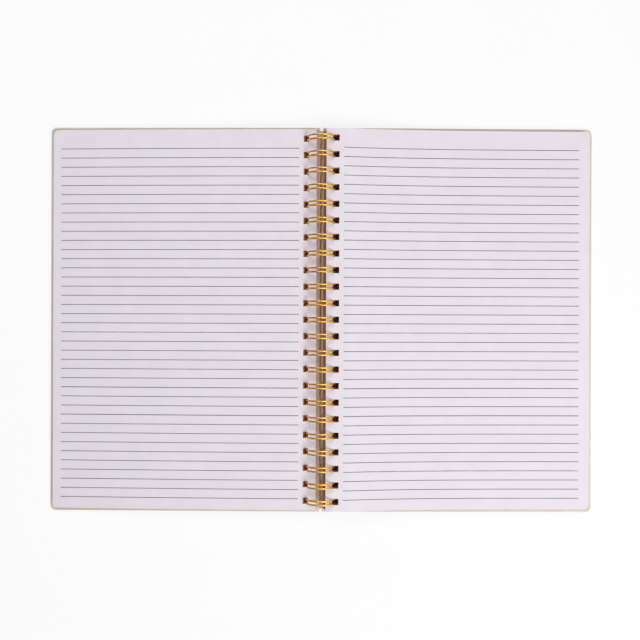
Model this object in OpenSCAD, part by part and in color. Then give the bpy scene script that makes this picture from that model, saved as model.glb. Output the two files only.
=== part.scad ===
// Wire-bound ruled notebook, lying open on a table.
// X runs from the left page to the right page, Y to the head of the pages and Z up.
// The origin is on the table, under the middle of the spine.

/* [Leaves] */
// Width of a leaf, from its punched edge to its fore edge
leaf_w = 205; // [140:1:260]
// Height of a leaf, from tail to head
leaf_h = 294; // [180:1:360]
// Radius of the corners at the fore edge
corner_r = 4; // [1:0.5:10]
// Thickness of the left stack at its fore edge
left_stack_t = 2.6; // [1.5:0.1:4.5]
// Thickness of the right stack at its fore edge, top leaves included
right_stack_t = 3.6; // [2:0.1:4.5]
// Thickness of the right stack's top leaves, which spring up beside the wire
top_leaves_t = 0.4; // [0.2:0.1:0.8]
// Height of the sprung top leaves over the ring's centre
spring_rise = 4.9; // [1:0.1:5]
// Distance from the spine at which the sprung leaves start to fall away
crest_x = 20; // [16:1:30]
// Distance over which the sprung leaves settle down to the stack
settle_length = 60; // [30:1:90]

/* [Covers] */
// Thickness of a cover board
cover_t = 2; // [1:0.1:2.4]
// How far a cover board stands out past the leaves
overhang = 2.5; // [1:0.1:6]
// Width of the gap between the two boards at the spine
spine_gap = 2; // [1.6:0.1:3]
// Board left between the spine edge and the holes
board_margin = 4.2; // [3.5:0.1:4.6]

/* [Wire] */
// Diameter of the wire
wire_d = 1.3; // [0.9:0.05:1.5]
// Inside diameter of the closed rings
ring_inner_d = 20.5; // [18.5:0.5:26]
// Distance from one double loop to the next
loop_pitch = 12.7; // [11.5:0.1:16]
// Distance between the two wires of a double loop
loop_w = 3; // [2.4:0.1:3.6]
// Bend radius where a loop turns into the back of the wire
heel_bend_r = 1; // [0.8:0.1:1.4]
// Length of the cut end past the outermost loops
cut_end = 1.2; // [0.6:0.1:3]

/* [Punching] */
// Width of a punched hole, across the spine
hole_w = 5; // [4.8:0.1:6.2]
// Paper left between a leaf's punched edge and its holes
leaf_margin = 5; // [3.5:0.1:5.4]
// Clearance between the holes' inner wall and the inside of the rings
hole_play = 1.45; // [0.8:0.05:1.6]
// The same clearance in the left stack, whose leaves are pulled out against the wire
left_play = 0.4; // [0.3:0.05:1.6]
// Clearance on each side of a double loop in its hole
side_play = 0.25; // [0.2:0.05:0.6]
// Least distance from the end of a leaf to the middle of a hole
end_margin = 7; // [6:0.5:12]

/* [Clearances] */
// Clearance between a board's underside and the inside of the rings
board_play = 0.3; // [0.3:0.05:0.6]
// Gap between a board and the leaves on it, and under the sprung leaves
stack_play = 0.1; // [0.1:0.05:0.3]
// Gap between the two stacks beside the wire, when the notebook is closed
close_gap = 0.3; // [0.2:0.05:1]

/* [Hidden] */
$fn = 48;

paper_color = [0.89, 0.86, 0.90];
board_color = [0.82, 0.76, 0.69];
gold_color = [0.88, 0.68, 0.34];

// Small overshoot of a cutting solid
eps = 1;
// Straight runs in the curved top of a stack
curve_steps = 18;
// How fast the left stack's top falls away: 1 is a plane, and more keeps it level beside the wire
left_fall = 1.5;

// Wire and rings
wire_r = wire_d / 2;
ring_inner_r = ring_inner_d / 2;
ring_r = ring_inner_r + wire_r;
tip_r = loop_w / 2;
heel_run = loop_pitch - loop_w - 2 * heel_bend_r;
loop_count = floor((leaf_h - 2 * end_margin) / loop_pitch) + 1;
first_loop_y = -(loop_count - 1) * loop_pitch / 2;

// The seam's two sides lie two steps from straight below. A step's sine and cosine are short
// decimals, 0.07584 and 0.99712, so that turned pieces of wire meet without a rounding gap
seam_step = asin(0.07584);
seam_angle = 2 * seam_step;

// How far a straight bend, tangent to the ring at an angle, dips below the ring's lowest point
function dip(bend_r, angle) = bend_r * sin(angle) - ring_r * (1 - cos(angle));
ring_dip = max(0, dip(heel_bend_r, seam_angle), dip(tip_r, seam_angle));
ring_z = ring_r + wire_r + ring_dip;

// Boards: the underside clears the inside of the rings, so the spine edge is lifted off the table
edge_offset = hole_play + leaf_margin;
leaf_in_x = ring_inner_r - edge_offset;
leaf_out_x = leaf_in_x + leaf_w;
cover_out_x = leaf_out_x + overhang;
cover_h = leaf_h + 2 * overhang;
board_hole_x = spine_gap / 2 + board_margin;
board_hole_z = ring_z - sqrt(pow(ring_inner_r - board_play, 2) - pow(board_hole_x, 2));
cover_tilt = atan(board_hole_z / (cover_out_x - board_hole_x));

hole_h = loop_w + wire_d + 2 * side_play;
hole_out_x = leaf_in_x + leaf_margin + hole_w;

// Heights over the table, at a distance x from the middle of the spine
function board_top(x) = tan(cover_tilt) * (cover_out_x - x) + cover_t / cos(cover_tilt);
function stack_base(x) = board_top(x) + stack_play;

// The stacks stop just short of the ring's centre, so that either half can close on the other
stack_in_z = ring_z - close_gap / 2;
left_out_z = stack_base(leaf_out_x) + left_stack_t;
right_out_z = stack_base(leaf_out_x) + right_stack_t;
spring_z = ring_z + spring_rise;

// The lowest leaf's punched edge lies nearer to the spine, and so does its fore edge
base_drop = ring_z - stack_base(leaf_in_x);
fore_edge_lean = ring_inner_r - sqrt(pow(ring_inner_r, 2) - pow(base_drop, 2));

function left_top(x) = let(u = max(0, (x - hole_out_x) / (leaf_out_x - hole_out_x)))
    left_out_z + (stack_in_z - left_out_z) * (1 - pow(u, left_fall));

settled = exp(-(leaf_out_x - crest_x) / settle_length);
settle_z = (right_out_z - spring_z * settled) / (1 - settled);
function sprung_top(x) =
    settle_z + (spring_z - settle_z) * exp(-max(0, x - crest_x) / settle_length);
function right_top(x) = min(stack_in_z, sprung_top(x) - top_leaves_t - stack_play);

// Places of the corners in the curved tops, closer together beside the wire
function step_x(i) = leaf_in_x + leaf_w * pow(i / curve_steps, 1.6);
function left_curve() = [for (i = [0 : curve_steps]) [step_x(i), left_top(step_x(i))]];
function right_curve() = [for (i = [0 : curve_steps]) [step_x(i), right_top(step_x(i))]];
function sprung_curve() = [for (i = [0 : curve_steps]) [step_x(i), sprung_top(step_x(i))]];
function sprung_base() = [for (i = [curve_steps : -1 : 0])
    [step_x(i), right_top(step_x(i)) + stack_play]];

// Stands a flat XZ outline up and draws it out along Y, centred on the spine's length
module drawn_along_spine(length) {
    rotate([90, 0, 0])
        linear_extrude(height = length, center = true)
            children();
}

// Plan of a board or leaf from the spine outward, with round corners at its fore edge only
module fore_edge_plan(from_x, to_x, length, r) {
    translate([from_x, -length / 2]) square([to_x - r - from_x, length]);
    translate([from_x, r - length / 2]) square([to_x - from_x, length - 2 * r]);
    for (side = [-1, 1])
        translate([to_x - r, side * (length / 2 - r)]) circle(r);
}

module at_each_loop() {
    for (i = [0 : loop_count - 1])
        translate([0, first_loop_y + i * loop_pitch, 0]) children();
}

// Outline of the space inside a ring, moved outward by a distance
module ring_outline(shift) {
    translate([shift, ring_z]) circle(ring_inner_r);
}

// Leaves lie with their punched edges along the ring's curve, and their holes follow the same curve
module stack_outline(curve) {
    base_in_x = spine_gap / 2;
    difference() {
        polygon(concat([[base_in_x, stack_base(base_in_x)], [base_in_x, stack_in_z]], curve,
            [[leaf_out_x - fore_edge_lean, stack_base(leaf_out_x)]]));
        ring_outline(-edge_offset);
    }
}

module hole_outline(play) {
    intersection() {
        difference() {
            ring_outline(hole_w - hole_play);
            ring_outline(-play);
        }
        translate([0, cover_t]) square([hole_out_x + eps, stack_in_z + eps - cover_t]);
    }
}

// Pages of one side, drawn for the right hand
module page_stack(curve, play) {
    difference() {
        intersection() {
            drawn_along_spine(leaf_h) stack_outline(curve);
            linear_extrude(height = 2 * ring_z)
                fore_edge_plan(0, leaf_out_x, leaf_h, corner_r);
        }
        at_each_loop() drawn_along_spine(hole_h) hole_outline(play);
    }
}

module left_pages() {
    color(paper_color) mirror([1, 0, 0]) page_stack(left_curve(), left_play);
}

module right_pages() {
    color(paper_color) page_stack(right_curve(), hole_play);
}

// The leaves on top of the right stack, arched over it beside the wire
module right_top_leaves() {
    color(paper_color) difference() {
        intersection() {
            drawn_along_spine(leaf_h) polygon(concat(sprung_curve(), sprung_base()));
            linear_extrude(height = 2 * ring_z)
                fore_edge_plan(0, leaf_out_x, leaf_h, corner_r);
        }
        at_each_loop()
            translate([leaf_in_x + leaf_margin, -hole_h / 2, 0])
                cube([hole_w, hole_h, 2 * ring_z]);
    }
}

// Cover board for the right hand, flat and then tilted about its outer bottom edge
module cover_board() {
    color(board_color)
        translate([cover_out_x, 0, 0])
            rotate([0, cover_tilt, 0])
                translate([-cover_out_x, 0, 0])
                    difference() {
                        linear_extrude(height = cover_t)
                            fore_edge_plan(spine_gap / 2, cover_out_x, cover_h, corner_r);
                        at_each_loop()
                            translate([board_hole_x, -hole_h / 2, -eps])
                                cube([hole_w, hole_h, cover_t + 2 * eps]);
                    }
}

module front_cover() {
    mirror([1, 0, 0]) cover_board();
}

module back_cover() {
    cover_board();
}

// Moves a part drawn flat under the ring round to the seam, on the heel side or the tip side
module at_seam(side) {
    translate([0, 0, ring_z])
        rotate([0, -side * seam_step, 0])
            rotate([0, -side * seam_step, 0])
                translate([0, 0, -ring_r])
                    children();
}

// Half a ring of wire, from the seam up. The two halves of a ring run over each other at the top
module half_ring(side) {
    at_seam(side)
        translate([0, 0, ring_r])
            rotate([90, 0, 0])
                rotate([0, 0, side > 0 ? -90 : 90])
                    rotate_extrude(angle = 180)
                        translate([ring_r, 0]) circle(wire_r);
}

// The round tip that joins the two wires of a loop
module loop_tip() {
    at_seam(1)
        rotate([0, 0, 90])
            rotate_extrude(angle = 180)
                translate([tip_r, 0]) circle(wire_r);
}

// A quarter bend from a ring's wire into the straight back of the wire
module heel_bend(side) {
    at_seam(-1)
        translate([0, side * (tip_r + heel_bend_r), 0])
            rotate([0, 0, side > 0 ? -90 : 0])
                rotate_extrude(angle = 90)
                    translate([heel_bend_r, 0]) circle(wire_r);
}

// A straight length of the back of the wire, which starts at a loop's bend
module heel_straight(length) {
    at_seam(-1)
        translate([heel_bend_r, tip_r + heel_bend_r, 0])
            rotate([-90, 0, 0])
                cylinder(h = length, r = wire_r);
}

// One continuous wire: double loops side by side, joined by straight heels along the spine
module twin_loop_wire() {
    color(gold_color) {
        at_each_loop() {
            for (side = [-1, 1]) {
                translate([0, side * tip_r, 0]) {
                    half_ring(-1);
                    half_ring(1);
                }
                heel_bend(side);
            }
            loop_tip();
        }
        for (i = [0 : loop_count - 2])
            translate([0, first_loop_y + i * loop_pitch, 0]) heel_straight(heel_run);
        for (side = [-1, 1])
            mirror([0, side < 0 ? 1 : 0, 0])
                translate([0, -first_loop_y, 0]) heel_straight(cut_end);
    }
}

twin_loop_wire();
front_cover();
back_cover();
left_pages();
right_pages();
right_top_leaves();
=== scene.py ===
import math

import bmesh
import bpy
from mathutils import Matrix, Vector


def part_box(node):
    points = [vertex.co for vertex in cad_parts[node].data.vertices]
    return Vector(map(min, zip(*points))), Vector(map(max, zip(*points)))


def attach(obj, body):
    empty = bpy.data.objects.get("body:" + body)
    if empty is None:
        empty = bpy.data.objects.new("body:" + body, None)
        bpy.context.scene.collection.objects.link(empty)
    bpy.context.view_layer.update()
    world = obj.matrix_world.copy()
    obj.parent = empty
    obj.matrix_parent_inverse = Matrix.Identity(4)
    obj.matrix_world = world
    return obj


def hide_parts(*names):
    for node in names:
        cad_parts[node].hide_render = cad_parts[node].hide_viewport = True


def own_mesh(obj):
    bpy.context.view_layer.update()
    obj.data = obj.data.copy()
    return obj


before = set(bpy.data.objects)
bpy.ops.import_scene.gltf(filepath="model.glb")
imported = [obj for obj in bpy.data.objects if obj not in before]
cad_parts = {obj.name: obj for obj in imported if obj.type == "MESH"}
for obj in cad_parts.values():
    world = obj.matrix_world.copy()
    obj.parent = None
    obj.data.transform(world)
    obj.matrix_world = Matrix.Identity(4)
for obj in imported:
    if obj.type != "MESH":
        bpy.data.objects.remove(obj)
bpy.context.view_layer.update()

# %% [markdown]
# # An open wire-bound notebook
# The notebook lies open on a table and is seen from straight above. Its CAD model is already
# loaded, so every piece made here goes exactly where its CAD solid is. The real notebook is made
# of punched leaves, stiff boards and one long bent wire, and the cells below make them in that
# order. All lengths are written in millimetres and turned into metres by one helper.

MM = 0.001


def mm(*lengths):
    """Millimetres into metres: one number, or a point."""
    metres = tuple(length * MM for length in lengths)
    return metres[0] if len(metres) == 1 else metres


print("nodes:", sorted(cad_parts))

# %% [markdown]
# ## The notebook's own numbers
# These repeat the values that the CAD model is drawn from. The leaves hang on the rings: a leaf's
# punched edge lies a fixed distance inside the ring's wall, so lower leaves sit nearer the spine.

# %% Sizes of wire, leaves and boards
wire_r, ring_inner_r, loop_pitch, loop_w, heel_bend_r, cut_end = 0.65, 10.25, 12.7, 3.0, 1.0, 1.2
leaf_w, leaf_h, corner_r, leaf_margin, hole_w = 205.0, 294.0, 4.0, 5.0, 5.0
overhang, cover_t, spine_gap, board_margin, board_play = 2.5, 2.0, 2.0, 4.2, 0.3
hole_play, left_play, side_play, stack_play, close_gap = 1.45, 0.4, 0.25, 0.1, 0.3

loop_count = 23
loops_y = [(i - loop_count // 2) * loop_pitch for i in range(loop_count)]
tip_r = loop_w / 2
ring_r = ring_inner_r + wire_r
seam_step_sine = 0.07584
seam_angle = 2 * math.asin(seam_step_sine)
ring_z = ring_r + wire_r + tip_r * math.sin(seam_angle) - ring_r * (1 - math.cos(seam_angle))

edge_offset = hole_play + leaf_margin
leaf_in_x = ring_inner_r - edge_offset
leaf_out_x = leaf_in_x + leaf_w
hole_in_x, hole_out_x = leaf_in_x + leaf_margin, leaf_in_x + leaf_margin + hole_w
left_hole_in_x = ring_inner_r - left_play
hole_h = loop_w + 2 * wire_r + 2 * side_play

cover_out_x, cover_h = leaf_out_x + overhang, leaf_h + 2 * overhang
board_hole_in = spine_gap / 2 + board_margin
board_hole_out = board_hole_in + hole_w
board_lift = ring_z - math.sqrt((ring_inner_r - board_play) ** 2 - board_hole_in ** 2)
cover_tilt = math.atan(board_lift / (cover_out_x - board_hole_in))
print("ring centre", round(ring_z, 3), "tilt", round(cover_tilt, 5))
print("leaves from", leaf_in_x, "to", leaf_out_x)

# %% [markdown]
# ## Curved tops
# Both stacks are as high as the ring's centre beside the wire and fall away to the fore edge. On
# the right the top leaves spring up higher still. Each curve is a small function of the distance
# from the spine, so every piece can ask for the height that it needs.

# %% Heights over the table
left_stack_t, right_stack_t, top_leaves_t = 2.6, 3.6, 0.4
spring_rise, crest_x, settle_length = 4.9, 20.0, 60.0


def board_top(x):
    return math.tan(cover_tilt) * (cover_out_x - x) + cover_t / math.cos(cover_tilt)


def stack_base(x):
    return board_top(x) + stack_play


# The two stacks meet here, half of close_gap under the ring's centre.
stack_in_z = ring_z - close_gap / 2
left_out_z = stack_base(leaf_out_x) + left_stack_t
right_out_z = stack_base(leaf_out_x) + right_stack_t
settled = math.exp(-(leaf_out_x - crest_x) / settle_length)
settle_z = (right_out_z - (ring_z + spring_rise) * settled) / (1 - settled)
base_drop = ring_z - stack_base(leaf_in_x)
fore_edge_lean = ring_inner_r - math.sqrt(ring_inner_r ** 2 - base_drop ** 2)


def left_top(x):
    """The left stack stays level past the holes, then falls faster and faster."""
    out = max(0.0, (x - hole_out_x) / (leaf_out_x - hole_out_x))
    return left_out_z + (stack_in_z - left_out_z) * (1 - out ** 1.5)


def sprung_top(x):
    """The sprung leaves fall like a fading curve from their crest."""
    fall = math.exp(-max(0.0, x - crest_x) / settle_length)
    return settle_z + (ring_z + spring_rise - settle_z) * fall


def right_top(x):
    """The right stack lies under the sprung leaves, and no higher than the left."""
    return min(stack_in_z, sprung_top(x) - top_leaves_t - stack_play)


print("left", round(left_top(crest_x), 2), "right", round(sprung_top(crest_x), 2))
print("fore edge leans", round(fore_edge_lean, 3))

# %% Ruled lines
line_first_y, line_pitch, line_count, line_w = 132.3, 7.12, 39, 0.6
lines_y = [line_first_y - i * line_pitch for i in range(line_count)]
line_in_x, line_out_left, line_out_right = 17.3, 202.4, 200.5
print("lines from", lines_y[0], "to", round(lines_y[-1], 2))

# %% [markdown]
# ## Working in edit mode from code
# A modeller clicks on faces and edges. Code picks them by where they are or by which way they look,
# and then calls the same operators. Two helpers are enough: one opens a piece for editing, the
# other selects the vertices, edges or faces that pass a test.

# %% Open, close and pick
# Two places closer than this, in millimetres, are the same place.
touch = 0.01


def edit(piece):
    """Opens one piece in edit mode."""
    if bpy.context.mode != "OBJECT":
        bpy.ops.object.mode_set(mode="OBJECT")
    bpy.ops.object.select_all(action="DESELECT")
    bpy.context.view_layer.objects.active = piece
    piece.select_set(True)
    bpy.ops.object.mode_set(mode="EDIT")


def done():
    """Closes the edit and returns the piece."""
    bpy.ops.object.mode_set(mode="OBJECT")
    return bpy.context.view_layer.objects.active


def pick(kind, test):
    """Selects only the verts, edges or faces whose middle passes the test, and counts them."""
    mode = {"verts": "VERT", "edges": "EDGE", "faces": "FACE"}[kind]
    bpy.ops.mesh.select_mode(type=mode)
    bpy.ops.mesh.select_all(action="DESELECT")
    mesh = bmesh.from_edit_mesh(bpy.context.edit_object.data)
    found = 0
    for item in getattr(mesh, kind):
        if test(item):
            item.select_set(True)
            found += 1
    mesh.select_flush_mode()
    bmesh.update_edit_mesh(bpy.context.edit_object.data)
    return found


def middle(item):
    """Middle of an edge or face, in millimetres."""
    if isinstance(item, bmesh.types.BMFace):
        return item.calc_center_median() / MM
    return (item.verts[0].co + item.verts[1].co) / 2 / MM


def finish_piece(name):
    """Closes the edit, sends the normals outward and shades the piece."""
    bpy.ops.mesh.select_all(action="SELECT")
    bpy.ops.mesh.remove_doubles(threshold=mm(0.001))
    bpy.ops.mesh.normals_make_consistent(inside=False)
    piece = done()
    piece.name = piece.data.name = name
    bpy.ops.object.shade_smooth_by_angle(angle=math.radians(30))
    print(name, "faces", len(piece.data.polygons), "open edges", open_edge_count(piece))
    return piece


def open_edge_count(piece):
    mesh = bmesh.new()
    mesh.from_mesh(piece.data)
    count = sum(1 for edge in mesh.edges if len(edge.link_faces) != 2)
    mesh.free()
    return count


# %% [markdown]
# ## Cutting the holes
# On the real leaves and boards a die punches square holes, one for each loop of the wire. On the
# mesh, planes cut the sheet along both sides of every hole, the small faces between them are taken
# out at the top and the bottom, and the two square openings are bridged by walls.

# %% Slice and punch
def slice_at(direction, places):
    """Cuts the whole open mesh with planes across x or y."""
    normal = {"x": (1, 0, 0), "y": (0, 1, 0)}[direction]
    for place in places:
        bpy.ops.mesh.select_all(action="SELECT")
        bpy.ops.mesh.bisect(plane_co=[n * mm(place) for n in normal], plane_no=normal)


def punch(side, near_x, far_x, lean):
    """Opens and walls every hole. The bottom faces lie by the lean nearer to the spine."""

    def in_hole(face):
        if abs(face.normal.z) < 0.5:
            return False
        spot = middle(face)
        x = side * spot.x + (lean if face.normal.z < 0 else 0)
        return near_x < x < far_x and any(abs(spot.y - y) < hole_h / 2 for y in loops_y)

    bpy.ops.mesh.select_all(action="SELECT")
    bpy.ops.mesh.normals_make_consistent(inside=False)
    print("faces punched out", pick("faces", in_hole))
    bpy.ops.mesh.delete(type="FACE")
    for y in loops_y:
        pick("edges", lambda edge: edge.is_boundary and abs(middle(edge).y - y) < hole_h / 2 + 0.1)
        bpy.ops.mesh.bridge_edge_loops()


# %% [markdown]
# ## A stack of leaves
# The leaves of one side are one block. Its punched edge follows the inside of the rings, so it
# starts as an arc of a circle. That arc is extruded outward, step by step, and squeezed in height
# at each step to follow the curved top. Pulling the finished profile along the spine gives the
# block, and a bevel rounds the two corners at the fore edge.

# %% Profile by extrusion
first_step_x, curve_steps, crowding, circle_sides, corner_steps = 5.8, 40, 1.3, 120, 8


def leaf_steps(inner_x, line_out_x):
    """Where the profile gets an edge: closer together beside the wire than at the fore edge."""
    inner = [first_step_x, inner_x, (inner_x + hole_out_x) / 2, hole_out_x, line_in_x]
    run = line_out_x - line_in_x
    curved = [line_in_x + run * (i / curve_steps) ** crowding for i in range(1, curve_steps + 1)]
    return inner + curved + [leaf_out_x]


def extrude_profile(side, steps, top, base):
    """Extrudes the selected chain of edges outward, keeping its top and bottom on two curves."""
    x = leaf_in_x
    for next_x in steps:
        rise = top(next_x) - top(x)
        squeeze = (top(next_x) - base(next_x)) / (top(x) - base(x))
        bpy.ops.mesh.extrude_region_move(
            TRANSFORM_OT_translate={"value": mm(side * (next_x - x), 0, rise)})
        bpy.ops.transform.resize(value=(1, 1, squeeze), center_override=mm(0, 0, top(next_x)))
        x = next_x


def punched_edge_arc(side, base_z, top_z):
    """Leaves only the piece of the ring's inside wall that the leaves' punched edges lie along."""
    bpy.ops.object.select_all(action="DESELECT")
    bpy.ops.mesh.primitive_circle_add(
        vertices=circle_sides, radius=mm(ring_inner_r), rotation=(math.pi / 2, 0, 0),
        location=mm(-side * edge_offset, -leaf_h / 2, ring_z))
    bpy.ops.object.transform_apply(location=True, rotation=True, scale=True)
    edit(bpy.context.object)
    for height, up in ((base_z, -1), (top_z, 1)):
        bpy.ops.mesh.select_all(action="SELECT")
        bpy.ops.mesh.bisect(plane_co=mm(0, 0, height), plane_no=(0, 0, up), clear_outer=True)
    bpy.ops.mesh.select_all(action="SELECT")
    bpy.ops.mesh.bisect(plane_co=(0, 0, 0), plane_no=(side, 0, 0), clear_inner=True)
    bpy.ops.mesh.select_all(action="SELECT")


def leaf_block(name, side, top, inner_x, line_out_x):
    """A whole stack: arc, profile, block, holes and corners."""
    punched_edge_arc(side, stack_base(leaf_in_x), top(leaf_in_x))
    extrude_profile(side, leaf_steps(inner_x, line_out_x), top, stack_base)
    close_block(side, inner_x, fore_edge_lean, leaf_h)
    return finish_piece(name)


def close_block(side, inner_x, lean, length):
    """Pulls the profile along the spine, punches it and rounds the corners at the fore edge."""
    bpy.ops.mesh.select_all(action="SELECT")
    bpy.ops.mesh.extrude_region_move(TRANSFORM_OT_translate={"value": mm(0, length, 0)})
    slice_at("y", [y + half * hole_h / 2 for y in loops_y for half in (-1, 1)])
    punch(side, inner_x, hole_out_x, lean)
    reach = leaf_out_x - lean - 0.2
    pick("edges", lambda edge: side * middle(edge).x > reach
         and abs(abs(middle(edge).y) - length / 2) < touch
         and abs(edge.verts[0].co.z - edge.verts[1].co.z) > mm(touch))
    bpy.ops.mesh.bevel(offset=mm(corner_r), segments=corner_steps, affect="EDGES")


left_block = leaf_block("left_leaf_stack", -1, left_top, left_hole_in_x, line_out_left)
right_block = leaf_block("right_leaf_stack", 1, right_top, hole_in_x, line_out_right)

# %% [markdown]
# ## The leaves that spring up
# On the right side the top leaves arch over the stack beside the wire. They are one thin wedge
# that lies on the stack at its fore edge and opens toward the rings. Its punched edge is straight,
# so it starts as a plane that is stood up and narrowed to one edge.

# %% Sprung top leaves
# They end a hair inside the stack's two ends, so that their end faces never meet the stack's.
sprung_end_gap, edge_cuts = 0.06, 5


def sprung_base(x):
    return right_top(x) + stack_play


def sprung_leaves(name):
    """The same steps as for a stack, from a straight punched edge."""
    length = leaf_h - 2 * sprung_end_gap
    top_z, base_z = sprung_top(leaf_in_x), sprung_base(leaf_in_x)
    bpy.ops.object.select_all(action="DESELECT")
    bpy.ops.mesh.primitive_plane_add(
        size=mm(top_z - base_z), rotation=(math.pi / 2, 0, 0),
        location=mm(leaf_in_x - (top_z - base_z) / 2, -length / 2, (top_z + base_z) / 2))
    bpy.ops.object.transform_apply(location=True, rotation=True, scale=True)
    edit(bpy.context.object)
    pick("verts", lambda vert: vert.co.x < mm(leaf_in_x - 0.1))
    bpy.ops.mesh.delete(type="VERT")
    bpy.ops.mesh.select_all(action="SELECT")
    bpy.ops.mesh.subdivide(number_cuts=edge_cuts)
    bpy.ops.mesh.select_all(action="SELECT")
    extrude_profile(1, leaf_steps(hole_in_x, line_out_right), sprung_top, sprung_base)
    close_block(1, hole_in_x, 0.0, length)
    return finish_piece(name)


sprung_block = sprung_leaves("right_sprung_leaves")

# %% [markdown]
# ## Ruling
# The ruled lines are print, thin and sharp. They are made as narrow strips of the paper's own
# faces, cut by planes along both sides of each line, so that they stay crisp at any distance. The
# strips get the ink's material. Leaves are ruled on both sides, and the underside shows when they
# turn. The same walk over the faces tells cut edges from the walls of the holes.

# %% Cut the ruled lines
# A paper piece carries its finishes in this order.
PAPER, INK, LEAF_EDGE, HOLE_EDGE, SPINE_EDGE = range(5)
hole_walls_from, wall_slack = 5.0, 0.1


def in_a_hole(x, y, out_x):
    """True on a punched hole's walls, but not on the punched edge nearest to the spine."""
    return hole_walls_from < x < out_x + wall_slack and any(
        abs(y - loop) < hole_h / 2 + wall_slack for loop in loops_y)


def is_sheet(face):
    """True on the top or the bottom of a stack, not on its edges."""
    return abs(face.normal.z) > 0.5


def rule(block, side, line_out_x):
    """Cuts the lines into a block and gives every face its finish."""
    edit(block)
    for y in lines_y:
        for half in (-1, 1):
            pick("faces", lambda face: is_sheet(face)
                 and abs(middle(face).y - y) < line_pitch * 1.2)
            bpy.ops.mesh.bisect(plane_co=mm(0, y + half * line_w / 2, 0), plane_no=(0, 1, 0))
    done()
    inked = 0
    for face in block.data.polygons:
        x, y = side * face.center.x / MM, face.center.y / MM
        near = min(abs(y - line) for line in lines_y)
        face.material_index = PAPER
        if is_sheet(face) and line_in_x < x < line_out_x and near < line_w / 2:
            face.material_index = INK
            inked += 1
        elif x < leaf_in_x + touch and face.normal.z > -0.9:
            face.material_index = SPINE_EDGE
        elif not is_sheet(face):
            face.material_index = HOLE_EDGE if in_a_hole(x, y, hole_out_x) else LEAF_EDGE
    print(block.name, "inked faces", inked)


# %% [markdown]
# ## Cover boards
# A cover is a 2 mm board lined with cream paper. It lies with its fore edge on the table and its
# spine edge raised on the rings, so it is made flat and then tilted about its outer bottom edge.
# The lining is folded over the edges, which a small bevel shows.

# %% Boards
# The lining's fold is a small round. The rim lies outside these two distances, the holes inside.
fold_r, rim_near_x, rim_far_x = 0.3, 2, 12


def cover_board(name, side):
    """A slab with its holes, its two round corners and a soft rim, tilted at the end."""
    bpy.ops.object.select_all(action="DESELECT")
    bpy.ops.mesh.primitive_cube_add(
        size=1, location=mm(side * (spine_gap / 2 + cover_out_x) / 2, 0, cover_t / 2),
        scale=mm(cover_out_x - spine_gap / 2, cover_h, cover_t))
    bpy.ops.object.transform_apply(location=True, rotation=True, scale=True)
    edit(bpy.context.object)
    slice_at("x", [side * board_hole_in, side * board_hole_out])
    slice_at("y", [y + half * hole_h / 2 for y in loops_y for half in (-1, 1)])
    punch(side, board_hole_in, board_hole_out, 0.0)
    pick("edges", lambda edge: side * middle(edge).x > cover_out_x - 0.1
         and abs(middle(edge).y) > cover_h / 2 - 0.1
         and abs(edge.verts[0].co.z - edge.verts[1].co.z) > mm(1))
    bpy.ops.mesh.bevel(offset=mm(corner_r), segments=corner_steps, affect="EDGES")
    pick("edges", is_rim)
    bpy.ops.mesh.bevel(offset=mm(fold_r), segments=3, affect="EDGES")
    bpy.ops.mesh.select_all(action="SELECT")
    bpy.ops.transform.rotate(value=-side * cover_tilt, orient_axis="Y",
                             center_override=mm(side * cover_out_x, 0, 0))
    return finish_piece(name)


def is_rim(edge):
    """Edges between a flat face of the board and its outer side, holes left out."""
    normals = [face.normal for face in edge.link_faces]
    if len(normals) != 2 or abs(abs(normals[0].z) - abs(normals[1].z)) < 0.5:
        return False
    spot = middle(edge)
    return abs(spot.y) > leaf_h / 2 or not rim_near_x <= abs(spot.x) <= rim_far_x


front_board = cover_board("front_cover_board", -1)
back_board = cover_board("back_cover_board", 1)
for board, node in ((front_board, "front_cover"), (back_board, "back_cover")):
    heights = [vert.co.z / MM for vert in board.data.vertices]
    print(node, "solid", [round(corner[2] / MM, 2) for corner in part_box(node)],
          "board", round(min(heights), 2), round(max(heights), 2))

# %% [markdown]
# ## The twin-loop wire
# A binding machine bends one long wire into loops: along the back, round a small bend, up and over
# as a ring, round a tip, and back over as a second ring. A circle that is spun round each of those
# bends in turn leaves the wire behind it. One loop is made this way, from the middle of one
# straight back piece to the middle of the next, and an array then repeats it along the spine.

# %% Bends by spinning the wire's round end
wire_sides, ring_steps, tip_steps, heel_steps, cut_round = 14, 56, 12, 6, 0.15


def bend(angle, axis, centre, steps):
    """Spins the selected end of the wire. The operator turns the other way, hence the minus."""
    bpy.ops.mesh.spin(steps=steps, angle=-math.radians(angle), center=mm(*centre), axis=axis)


def seam_point(side, y):
    """Where a ring's wire ends, under the spine: -1 is at the heel, 1 at the tip."""
    return (side * ring_r * math.sin(seam_angle), y, ring_z - ring_r * math.cos(seam_angle))


def ring(y, way):
    """One of the two rings of a loop: over the top, from one seam to the other."""
    bend(way * (360 - 2 * math.degrees(seam_angle)), (0, 1, 0), (0, y, ring_z), ring_steps)


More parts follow.
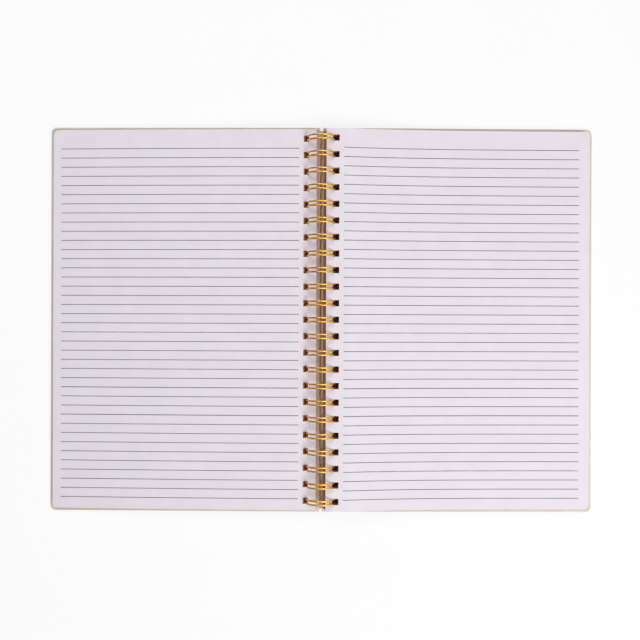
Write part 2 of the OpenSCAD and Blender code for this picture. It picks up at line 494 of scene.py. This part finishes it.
def one_loop(y):
    """Half a back piece, heel, ring, tip, ring, heel and half a back piece, in one run."""
    inward = {side: (-side * math.sin(seam_angle), 0, math.cos(seam_angle)) for side in (-1, 1)}
    back_y = tip_r + heel_bend_r
    seam_x, _, seam_z = seam_point(-1, 0)
    back_x = seam_x + heel_bend_r * math.cos(seam_angle)
    back_z = seam_z - heel_bend_r * math.sin(seam_angle)
    straight = loop_pitch / 2 - back_y
    bpy.ops.object.select_all(action="DESELECT")
    bpy.ops.mesh.primitive_circle_add(
        vertices=wire_sides, radius=mm(wire_r), rotation=(math.pi / 2, 0, 0),
        location=mm(back_x, y - loop_pitch / 2, back_z))
    bpy.ops.object.transform_apply(location=True, rotation=True, scale=True)
    edit(bpy.context.object)
    bpy.ops.mesh.select_all(action="SELECT")
    bpy.ops.mesh.extrude_region_move(TRANSFORM_OT_translate={"value": mm(0, straight, 0)})
    bend(90, inward[-1], seam_point(-1, y - back_y), heel_steps)
    ring(y - tip_r, 1)
    bend(-180, inward[1], seam_point(1, y), tip_steps)
    ring(y + tip_r, -1)
    bend(90, inward[-1], seam_point(-1, y + back_y), heel_steps)
    bpy.ops.mesh.extrude_region_move(TRANSFORM_OT_translate={"value": mm(0, straight, 0)})
    return done()


gold_wire = one_loop(loops_y[0])
repeat = gold_wire.modifiers.new("loops", "ARRAY")
repeat.count = len(loops_y)
repeat.use_relative_offset = False
repeat.use_constant_offset = True
repeat.constant_offset_displace = mm(0, loop_pitch, 0)
repeat.use_merge_vertices = True
repeat.merge_threshold = mm(touch)
bpy.ops.object.modifier_apply(modifier="loops")
print("loops joined:", len(loops_y), "faces", len(gold_wire.data.polygons))

# %% Cut ends of the wire
edit(gold_wire)
for way in (-1, 1):
    cut_y = way * (loops_y[-1] + tip_r + heel_bend_r + cut_end)
    bpy.ops.mesh.select_all(action="SELECT")
    bpy.ops.mesh.bisect(
        plane_co=mm(0, cut_y, 0), plane_no=(0, way, 0), clear_outer=True, use_fill=True)
    pick("edges", lambda edge: all(abs(vert.co.y - mm(cut_y)) < mm(touch) for vert in edge.verts))
    bpy.ops.mesh.bevel(offset=mm(cut_round), segments=2, affect="EDGES")
gold_wire = finish_piece("gold_twin_loop_wire")
for axis, name in enumerate("xyz"):
    places = [vert.co[axis] / MM for vert in gold_wire.data.vertices]
    solid = [round(corner[axis] / MM, 2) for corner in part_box("twin_loop_wire")]
    print("wire", name, round(min(places), 2), round(max(places), 2), "solid", solid)

# %% [markdown]
# ## Writing materials as sums
# A material is a small network of nodes. To keep it readable, one class wraps a socket, so that
# colours and patterns can be written as ordinary expressions, and one method adds any other node.

# %% Socket maths
class Value:
    """A value on its way through a material's nodes."""

    def __init__(self, nodes, socket):
        self.nodes, self.socket = nodes, socket

    def maths(self, operation, first, second):
        return self.nodes.add("ShaderNodeMath", {"operation": operation}, {0: first, 1: second})

    def __add__(self, other):
        return self.maths("ADD", self, other)

    def __sub__(self, other):
        return self.maths("SUBTRACT", self, other)

    def __rsub__(self, other):
        return self.maths("SUBTRACT", other, self)

    def __mul__(self, other):
        return self.maths("MULTIPLY", self, other)

    __radd__, __rmul__ = __add__, __mul__


class Nodes:
    """The nodes of a material or of the world."""

    def __init__(self, tree):
        self.tree = tree

    def add(self, kind, settings, inputs, output=0):
        node = self.tree.nodes.new(kind)
        for key, value in settings.items():
            setattr(node, key, value)
        for key, value in inputs.items():
            self.feed(node.inputs[key], value)
        return Value(self, node.outputs[output])

    def feed(self, socket, value):
        if isinstance(value, Value):
            self.tree.links.new(value.socket, socket)
        else:
            socket.default_value = value

    def mix(self, share, low, high):
        """A colour between two colours."""
        return self.add("ShaderNodeMix", {"data_type": "RGBA"}, {0: share, 6: low, 7: high}, 2)

    def ray(self, kind):
        """1 for rays of one kind, such as those that come straight from the camera."""
        return self.add("ShaderNodeLightPath", {}, {}, f"Is {kind} Ray")

    def ramp(self, value, start, end):
        """Rises smoothly from 0 to 1 between two values."""
        return self.add("ShaderNodeMapRange", {"interpolation_type": "SMOOTHSTEP"},
                        {"Value": value, "From Min": start, "From Max": end})


class Finish(Nodes):
    """A new material."""

    def __init__(self, name):
        self.material = bpy.data.materials.new(name)
        self.material.use_nodes = True
        super().__init__(self.material.node_tree)
        self.shader = self.tree.nodes["Principled BSDF"]
        self.place = self.add("ShaderNodeTexCoord", {}, {}, "Object")

    def noise(self, size_mm, detail=2.0, stretch=(1, 1, 1)):
        """Soft random values around 0.5, with blotches of a size in millimetres."""
        scale = [1 / (mm(size_mm) * way) for way in stretch]
        spread = self.add("ShaderNodeMapping", {}, {"Vector": self.place, "Scale": scale})
        return self.add("ShaderNodeTexNoise", {},
                        {"Vector": spread, "Scale": 1.0, "Detail": detail}, "Fac")

    def distance(self, axis):
        """Distance from the middle of the notebook along x or y."""
        axes = self.add("ShaderNodeSeparateXYZ", {}, {0: self.place}, axis)
        return self.add("ShaderNodeMath", {"operation": "ABSOLUTE"}, {0: axes})

    def bump(self, height, strength, distance_mm):
        self.set(Normal=self.add("ShaderNodeBump", {}, {
            "Height": height, "Strength": strength, "Distance": mm(distance_mm)}))

    def set(self, **values):
        for key, value in values.items():
            self.feed(self.shader.inputs[key.replace("_", " ")], value)


def srgb(red, green, blue):
    """A screen colour as Blender's linear colour, for levels from 11 to 255."""
    linear = [((level / 255 + 0.055) / 1.055) ** 2.4 for level in (red, green, blue)]
    return (*linear, 1.0)


# %% [markdown]
# ## Paper, ink and leaf edges
# Writing paper is matt, with soft blotches from the pulp and a very fine tooth. The cut edges of a
# stack look striped, because some leaves stand out a hair and the gaps between them are in shade.
# The gold wire throws a warm brown on the paper close to it. That light is painted here as a
# colour: on the walls of the holes, on the edges by the wire and between the wires of a loop.
# The edges by the wire on the right are also painted darker, as the shade that they lie in.
# It matches the photograph, at the price that it stays on the leaves when they turn.

# %% Paper and ink
def painted_gold_bounce(finish, colour):
    """Painted light: the warm glow that the gold wire throws on the paper between the two wires of
    a loop, more golden on the lit right side.
    """
    across = finish.distance("X")
    along = finish.add("ShaderNodeMath", {"operation": "PINGPONG"},
                       {0: finish.distance("Y"), 1: mm(loop_pitch / 2)})
    patch = finish.ramp(across, mm(3.0), mm(4.2)) * (1 - finish.ramp(across, mm(8.2), mm(9.6)))
    patch = patch * (1 - finish.ramp(along, mm(0.9), mm(1.9)))
    side = finish.add("ShaderNodeSeparateXYZ", {}, {0: finish.place}, "X")
    # The right side is painted yellower as the lit side, and the left pinker as the side in shade.
    tint = finish.mix(finish.ramp(side, mm(-1), mm(1)), srgb(222, 182, 150), srgb(255, 222, 140))
    return finish.mix(patch * 0.8, colour, tint)


def pulp(name, light, dark):
    """Paper, or ink that has sunk into it: blotches from the pulp and a fine tooth."""
    finish = Finish(name)
    blotch = finish.noise(14, 3.0)
    fibre = finish.noise(0.5, 4.0, (1, 2.4, 1))
    share = (blotch - 0.5) * 0.9 + (fibre - 0.5) * 0.6 + 0.5
    finish.set(Base_Color=painted_gold_bounce(finish, finish.mix(share, dark, light)))
    finish.set(Roughness=fibre * 0.15 + 0.72)
    finish.shader.inputs["Specular IOR Level"].default_value = 0.25
    finish.bump(fibre, 0.12, 0.05)
    return finish


paper = pulp("writing_paper", srgb(234, 227, 235), srgb(225, 218, 227))
ink = pulp("ruling_ink", srgb(134, 127, 136), srgb(120, 113, 122))


# %% Cut and punched edges
def cut_leaves(name, light, dark):
    """Edges of many leaves: fine level stripes for leaves that stand out or are drawn back; the
    darker stripes are painted shade in the gaps.
    """
    finish = Finish(name)
    leaf = finish.noise(0.16, 1.0, (400, 400, 1))
    tone = finish.noise(1.2, 2.0, (12, 12, 1))
    finish.set(Base_Color=finish.mix((leaf - 0.35) * 2.2 + (tone - 0.5) * 0.6, dark, light))
    finish.set(Roughness=tone * 0.1 + 0.78)
    finish.bump(leaf, 0.5, 0.12)
    return finish


leaf_edges = cut_leaves("leaf_edges", srgb(240, 233, 237), srgb(190, 179, 179))
# The brown on the paper's hole walls is painted warm light bounced from the gold wire, and painted
# shade, not the paper's own colour.
hole_edges = cut_leaves("punched_hole_edges", srgb(238, 182, 136), srgb(190, 128, 88))
# Painted light on the edges by the wire: the left ones, lit by the key lamp, get a light warm
# bounce from the gold. The right ones, facing away from it, are painted dark brown as shade and
# bounce.
spine_edges_painted_light = {
    -1: cut_leaves("left_edges_by_the_wire", srgb(246, 224, 220), srgb(216, 194, 190)),
    1: cut_leaves("right_edges_by_the_wire", srgb(192, 144, 112), srgb(150, 108, 82))}

# %% Paper pieces get their finishes and ruling
for block, side, line_out_x in (
        (left_block, -1, line_out_left), (right_block, 1, line_out_right),
        (sprung_block, 1, line_out_right)):
    for finish in (paper, ink, leaf_edges, hole_edges, spine_edges_painted_light[side]):
        block.data.materials.append(finish.material)
    rule(block, side, line_out_x)

# %% [markdown]
# ## Lined board and gold wire
# The boards are lined with a cream paper that has a slight grain, and the walls of their punched
# holes are raw. The wire is steel with a thin gold plating: smooth, a little dull where the bending
# tools and the leaves have rubbed it.

# %% Lining and raw board
LINING, RAW = range(2)
raw_spine_x = spine_gap / 2 + 0.15


def board_stuff(name, light, dark, relief):
    """Grainy paper or board: fine grain over wide clouds."""
    finish = Finish(name)
    grain = finish.noise(0.7, 3.0, (1, 3, 1))
    cloud = finish.noise(22, 2.0)
    finish.set(Base_Color=finish.mix((grain - 0.5) * 0.7 + (cloud - 0.5) * 0.8 + 0.5, dark, light))
    finish.set(Roughness=grain * 0.2 + 0.6)
    finish.bump(grain, relief, 0.06)
    return finish


lining = board_stuff("cream_lining", srgb(228, 216, 201), srgb(211, 198, 181), 0.2)
raw_board = board_stuff("raw_board_edge", srgb(188, 142, 106), srgb(146, 106, 76), 0.5)
for board in (front_board, back_board):
    for finish in (lining, raw_board):
        board.data.materials.append(finish.material)
    for face in board.data.polygons:
        x, y = abs(face.center.x / MM), face.center.y / MM
        upright = abs(face.normal.z) < 0.7
        raw = upright and (in_a_hole(x, y, board_hole_out) or x < raw_spine_x)
        face.material_index = RAW if raw else LINING

# %% Gold plating
gold = Finish("gold_plated_wire")
rub = gold.noise(1.6, 3.0)
streak = gold.noise(0.4, 2.0, (1, 5, 1))
gold.set(Base_Color=gold.mix((rub - 0.5) * 1.2 + 0.5, srgb(198, 146, 62), srgb(232, 186, 98)))
gold.set(Roughness=rub * 0.16 + streak * 0.08 + 0.24)
gold.shader.inputs["Metallic"].default_value = 1.0
gold.bump(streak, 0.06, 0.03)
gold_wire.data.materials.append(gold.material)

# %% [markdown]
# ## Which piece moves with what
# Each new piece stands for one CAD solid and moves with its body.

# %% Bodies
for piece, node, body, slot in (
        (left_block, "left_pages", "left_leaves", "leaf_paper"),
        (right_block, "right_pages", "right_leaves", "leaf_paper"),
        (sprung_block, "right_top_leaves", "right_leaves", "leaf_paper"),
        (front_board, "front_cover", "front_board", "cover_board"),
        (back_board, "back_cover", "back_board", "cover_board"),
        (gold_wire, "twin_loop_wire", "wire", "gold_wire")):
    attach(piece, body)
    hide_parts(node)
mm(0, 0, 5.2)
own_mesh(sprung_block)

# %% [markdown]
# ## Table, light and camera
# The photograph is lit from the right and a little from below, with a soft fill, and is cut out on
# a flat colour. Here the table is pale. It glows white to the camera and keeps the soft shadow, and
# the world is white to the camera too, while the light that reaches the notebook comes from two
# soft lamps and a dim surround. Gold mirrors its surroundings, so in gloss the world is bright on
# the key lamp's side and dim on the other. Round the spine the table doesn't glow, so that no white
# shows through the holes, and under the gap it glows with a painted warm brown, which stands for
# the shade there and the light that the wire throws into it.

# %% Floor
bpy.ops.object.select_all(action="DESELECT")
bpy.ops.mesh.primitive_plane_add(size=6, location=(0, 0, 0))
floor = bpy.context.object
floor.name = "table_top"
glow_share = 0.8
table = Finish("table_white")
table.set(Base_Color=table.mix(table.noise(60, 2.0), srgb(238, 238, 238), srgb(243, 243, 243)))
table.set(Roughness=table.noise(30, 2.0) * 0.1 + 0.7)
beyond = table.add("ShaderNodeMath", {"operation": "MAXIMUM"}, {
    0: table.ramp(table.distance("X"), mm(14), mm(17)),
    1: table.ramp(table.distance("Y"), mm(143), mm(147))})
# Under the gap the table glows with a painted brown: painted shade and light bounced from the wire.
gap_painted_glow = (1 - table.ramp(table.distance("X"), mm(1.2), mm(2.2))) * (
    1 - table.ramp(table.distance("Y"), mm(147), mm(149)))
share = table.add("ShaderNodeMath", {"operation": "MAXIMUM"}, {0: beyond, 1: gap_painted_glow})
glow = table.add("ShaderNodeEmission", {}, {
    "Color": table.mix(gap_painted_glow, (1, 1, 1, 1), srgb(160, 122, 98)), "Strength": 1.0})
seen = table.ray("Camera") + table.ray("Glossy") + table.ray("Transmission")
covered = table.add("ShaderNodeMixShader", {}, {
    0: seen * share * glow_share, 1: Value(table, table.shader.outputs[0]), 2: glow})
table.feed(table.tree.nodes["Material Output"].inputs["Surface"], covered)
floor.data.materials.append(table.material)

# %% World and lamps
world = bpy.data.worlds.new("studio")
bpy.context.scene.world = world
world.use_nodes = True
studio = Nodes(world.node_tree)
sky = world.node_tree.nodes["Background"]
surround, gloss_dim = 0.18, 0.2
studio.feed(sky.inputs["Color"], (1, 1, 1, 1))
direction = studio.add("ShaderNodeTexCoord", {}, {}, "Generated")
lit_side = studio.ramp(studio.add("ShaderNodeSeparateXYZ", {}, {0: direction}, "X"), -0.7, 0.5)
seen = studio.ray("Camera") + studio.ray("Transmission")
gloss = studio.ray("Glossy")
studio.feed(sky.inputs["Strength"],
            seen + gloss * (lit_side * (1 - gloss_dim) + gloss_dim)
            + (1 - seen - gloss) * surround)


def lamp(name, place, size, power):
    """A round soft lamp that looks at the notebook."""
    bpy.ops.object.light_add(type="AREA", location=place)
    light = bpy.context.object
    light.name = name
    light.data.shape = "DISK"
    light.data.size = size
    light.data.energy = power
    light.rotation_euler = (-light.location).to_track_quat("-Z", "Y").to_euler()


lamp("key_light", (0.6, -0.6, 1.1), 0.8, 13.6)
lamp("fill_light", (-0.35, 0.8, 1.1), 0.8, 7.9)

# %% Camera
# The photograph is 640 pixels wide, and its lens is 892 of those pixels long.
picture_px, lens_px, sensor_mm, camera_height = 640, 892, 36, 700
bpy.ops.object.camera_add(
    location=mm(-0.8, -0.2, camera_height), rotation=(0, 0, math.radians(0.2)))
camera = bpy.context.object
camera.data.sensor_width = sensor_mm
camera.data.lens = lens_px / picture_px * sensor_mm
camera.data.clip_start = 0.01
bpy.context.scene.camera = camera
bpy.context.scene.view_settings.view_transform = "Standard"
